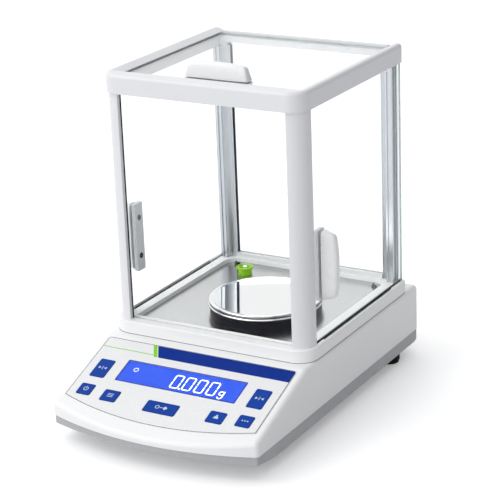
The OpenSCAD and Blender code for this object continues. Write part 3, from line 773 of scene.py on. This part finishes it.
def handle_shape(length, width, reach, place):
    """A tapered grip with slanted, rounded ends and an outer edge that bulges in its middle.

    It is a stack of rounded rectangles, one for each level from the pane, 0, to the outer edge, 1.
    """
    levels = [0, 0.02, 0.3, 0.6, 0.8, 0.88, 0.94, 0.98, 1.0]
    steps = 40
    squareness = 0.32
    rounding_start, rounding_span = 0.8, 0.2
    length_taper, length_rounding = 3.6, 3.0
    width_taper, width_rounding = 2.0, 2.6
    root_chamfer = 0.5
    drop_at_ends = 0.17
    shape = bmesh.new()
    rings = []
    for level in levels:
        rounding = max(0.0, (level - rounding_start) / rounding_span)
        shrink = 1 - math.sqrt(max(0.0, 1 - rounding * rounding))
        root = root_chamfer if level == 0 else 0.0
        half_len = length / 2 - length_taper * level - length_rounding * shrink - root
        half_wid = width / 2 - width_taper * level - width_rounding * shrink - root
        sides = []
        for sign in (1, -1):
            row = []
            for i in range(steps + 1):
                angle = math.pi * (1 - i / steps)
                c, s = math.cos(angle), abs(math.sin(angle))
                along = half_len * math.copysign(abs(c) ** squareness, c)
                across = sign * half_wid * s ** squareness
                bulge = 1 - drop_at_ends * (along / (length / 2)) ** 2
                row.append(place(along, across, reach * level * bulge))
            sides.append(row)
        top = [shape.verts.new(p) for p in sides[0]]
        bottom = [top[0], *[shape.verts.new(p) for p in sides[1][1:-1]], top[-1]]
        rings.append((top, bottom))
    for (top_a, low_a), (top_b, low_b) in zip(rings, rings[1:]):
        for a, b in ((top_a, top_b), (low_a, low_b)):
            for i in range(steps):
                shape.faces.new((a[i], a[i + 1], b[i + 1], b[i]))
    for top, low in (rings[0], rings[-1]):
        for i in range(steps):
            corners = list(dict.fromkeys((top[i], top[i + 1], low[i + 1], low[i])))
            shape.faces.new(corners)
    return shape


def make_handles():
    """The grips of the side doors, and the top door's grip with the pad under its pane."""
    material = [MATERIALS["white_handle"]]
    for side, sign in (("left", -1), ("right", 1)):
        low, high = box_mm(side + "_door_handle")
        middle = (low + high) / 2
        root = low.x if sign > 0 else high.x

        def place(along, across, out, root=root, sign=sign, middle=middle):
            return (root + sign * out, middle.y + across, middle.z + along)

        shape = handle_shape(high.z - low.z, high.y - low.y, high.x - low.x, place)
        obj = mesh_piece(side + "_grip", shape, material, side + "_door", sharp=50)
        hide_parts(side + "_door_handle")
    pane_low, pane_high = (corner.z for corner in box_mm("top_door_glass"))
    low, high = box_mm("top_door_handle")
    middle = (low + high) / 2

    def stand(along, across, out):
        return (middle.x + along, middle.y + across, pane_high + out)

    shape = handle_shape(high.x - low.x, high.y - low.y, high.z - pane_high, stand)
    pad_inset, pad_corner = 0.3, 1.4
    half = (high - low) / 2 - Vector((pad_inset, pad_inset, 0))
    pad_low, pad_high = middle - half, middle + half
    pad = round_rect((pad_low.x, pad_low.y), (pad_high.x, pad_high.y), (pad_corner,) * 4)
    add_prism(shape, pad, low.z, pane_low)
    obj = mesh_piece("top_grip", shape, material, "top_door", sharp=50)
    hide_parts("top_door_handle")


# ---------------------------------------------------------------- pan and level


def make_pan():
    """Spun pan with its hub: a flat mirror, a crisp edge, a groove and a bead round its skirt."""
    low, high = box_mm("weighing_pan")
    centre = (low + high) / 2
    radius = (high.x - low.x) / 2
    top = high.z
    dish, edge, bead, sheet = 0.25, 1.3, 1.4, 1.4
    wall = radius - 0.7
    flat = [(0, top - dish), (wall - 5, top - dish)]
    rise = [(wall - 4, top - dish * 0.6), (wall - 3, top - dish * 0.1)]
    upper_edge = arc((wall - edge, top - edge), edge, 90, 0, 10)
    groove = [(wall, top - 2.5), (wall - 0.7, top - 2.9), (wall - 0.7, top - 3.2)]
    rim = arc((radius - bead, top - 4.6), bead, 78, -90, 14)
    inside = [(radius - 4.5, top - 5.6), (radius - 5, top - sheet), (0, top - sheet)]
    profile = flat + rise + upper_edge + groove + rim + inside
    shape = bmesh.new()
    add_lathe(shape, profile, centre, 160)
    # The upper edge, the groove and the lower skirt get darker steels: painted reflections and
    # painted shade.
    mirror, skirt, dark = range(3)
    steels = [MATERIALS["mirror_steel"], PAN_REFLECTION_STEEL, DARK_SCREW_STEEL_AND_PAN_SHADE]
    bands = ((top - 0.9, mirror), (top - 2.4, skirt), (top - 3.3, dark), (top - 4.7, mirror))
    for face in shape.faces:
        z = face.calc_center_median().z
        face.material_index = next((steel for lowest, steel in bands if z > lowest), dark)
    obj = mesh_piece("mirror_pan", shape, steels, "pan", sharp=60)
    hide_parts("weighing_pan")
    outer, inner, chamfer, hub_top = 10.2, 6.2, 0.5, top - 1.5
    outside = [(outer, hub_top), (outer, low.z + chamfer), (outer - chamfer, low.z)]
    bore = [(inner + chamfer, low.z), (inner, low.z + chamfer), (inner, hub_top)]
    hub_steel = [MATERIALS["screw_steel"]]
    lathe_piece("pan_hub", [outside + bore], centre, 64, hub_steel, "pan")


def ring_profile(radius, half_width, low, high):
    """The closed section of a flat-sided ring."""
    section = rectangle(radius - half_width, low, radius + half_width, high)
    return [*section, section[0]]


def make_level():
    """The bubble level: a green cup in a skirt, a clear lens, two rings and the bubble, which glows
    as a painted highlight.
    """
    low, high = box_mm("level_vial")
    centre = (low + high) / 2
    z, top = low.z, high.z
    green = [MATERIALS["green_vial"]]

    foot = [(0, z), (6.2, z), (6.6, z + 0.4), (6.9, z + 2.4), (6.3, z + 2.8), (6.3, z + 3.3)]
    collar = [(7.6, z + 4.3), (8.5, z + 4.5), (8.8, z + 4.9), (8.8, top - 0.8), (8.4, top - 0.4)]
    recess = [(7.0, top - 0.3), (6.4, top - 1.1), (0, top - 1.1)]
    cup = [foot + collar + recess]
    obj = lathe_piece("level_cup", cup, centre, 64, green, "housing")
    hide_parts("level_vial")

    foot_z = box_mm("level_housing")[0].z + 0.1
    skirt = [ring_profile(7.0, 0.15, foot_z, z + 0.3)]
    lathe_piece("level_skirt", skirt, centre, 64, green, "housing")

    dome = [(6.2, top - 0.88), (6.2, top - 0.6), (5.4, top - 0.3), (3.6, top - 0.1), (0, top)]
    clear = [MATERIALS["clear_window"]]
    lathe_piece("level_lens", [dome], centre, 64, clear, "housing")

    rings = [ring_profile(radius, 0.2, top - 0.86, top - 0.8) for radius in (2.6, 4.6)]
    black = [MATERIALS["black_plastic"]]
    lathe_piece("level_rings", rings, centre, 48, black, "housing")

    lower = [(0, top - 0.84), (1.6, top - 0.8), (2.0, top - 0.68)]
    upper = [(1.6, top - 0.56), (0, top - 0.52)]
    off_centre = (centre.x + 0.3, centre.y - 0.2)
    bubble = [lower + upper]
    # The bubble glows white: a painted highlight.
    lathe_piece("level_bubble", bubble, off_centre, 32, [GLOW_AND_GLINT_WHITE], "housing")


# ---------------------------------------------------------------- painted seam shadow and screw recess shade


def make_plinth_seam():
    """A painted shadow line: a dark grey band where the plinth meets the deck."""
    low, high = box_mm("chamber_base")
    front_r, rear_r, proud, inset = 19, 8, 0.15, 0.3
    radii = (front_r, front_r, rear_r, rear_r)

    def outline(grow):
        near, far = (low.x - grow, low.y - grow), (high.x + grow, high.y + grow)
        return round_rect(near, far, [r + grow for r in radii])

    shape = bmesh.new()
    add_band(shape, outline(proud), outline(-inset), DECK_Z + 0.02, DECK_Z + 0.45)
    mesh_piece("plinth_painted_shadow", shape, [SEAM_SHADOW_GREY], "housing")


def add_cross(shape, low, high, place):
    """Adds a screw's cross, from height low to high along the screw's axis."""
    arm, half = 1.5, 0.32
    outlines = (rectangle(-arm, -half, arm, half), rectangle(-half, -arm, half, arm))
    for outline in outlines:
        add_prism(shape, outline, low, high, place)


def make_screw_crosses():
    """Black crosses in the heads of the door screws and of the housing screws: painted shade of
    their cross recesses.

    Each stands 0.03 mm proud of its head, so that it shows.
    """
    proud, door_depth, shell_depth = 0.03, 0.3, 0.4
    # Black here is painted shade in the screws' cross recesses.
    black = [MATERIALS["black_plastic"]]
    for side, sign in (("left", 1), ("right", -1)):
        low, high = box_mm(side + "_door_screws")
        head, middle = high.x if sign > 0 else low.x, (low.y + high.y) / 2
        shape = bmesh.new()
        for z in (low.z + SCREW_HEAD_R, high.z - SCREW_HEAD_R):

            def on_side(a, b, out, head=head, sign=sign, y=middle, z=z):
                return (head + sign * out, y + a, z + b)

            add_cross(shape, -door_depth, proud, on_side)
        mesh_piece(side + "_door_cross_shade", shape, black, side + "_door")
    low, high = box_mm("shell_screws")
    shape = bmesh.new()
    for x in (low.x + SHELL_HEAD_R, high.x - SHELL_HEAD_R):
        for y in (low.y + SHELL_HEAD_R, 0, high.y - SHELL_HEAD_R):

            def from_below(a, b, up, x=x, y=y, z=low.z):
                return (x + a, y + b, z + up)

            add_cross(shape, -proud, shell_depth, from_below)
    mesh_piece("shell_cross_shade", shape, black, "housing")


# ---------------------------------------------------------------- CAD nodes


def dress_nodes():
    """Gives every CAD node its slot's material, and the small screws a darker steel."""
    for row in frame["record"]["subparts"]:
        obj = frame["nodes"][row["node"]]
        obj.data.materials.clear()
        obj.data.materials.append(MATERIALS[row["material_slot"]])
    for name in ("floor_screws", "left_door_screws", "right_door_screws"):
        frame["nodes"][name].data.materials[0] = DARK_SCREW_STEEL_AND_PAN_SHADE


PANES = {
    "front_glass": "housing",
    "rear_glass": "housing",
    "left_door_glass": "left_door",
    "right_door_glass": "right_door",
    "top_door_glass": "top_door",
}

bpy.context.scene.view_settings.view_transform = "Standard"
add_camera()
add_studio()
dress_nodes()
for pane_node, pane_body in PANES.items():
    make_pane(pane_node, pane_body)
make_panel_prints()
make_display()
make_key_marks()
make_handles()
make_pan()
make_level()
make_plinth_seam()
make_screw_crosses()
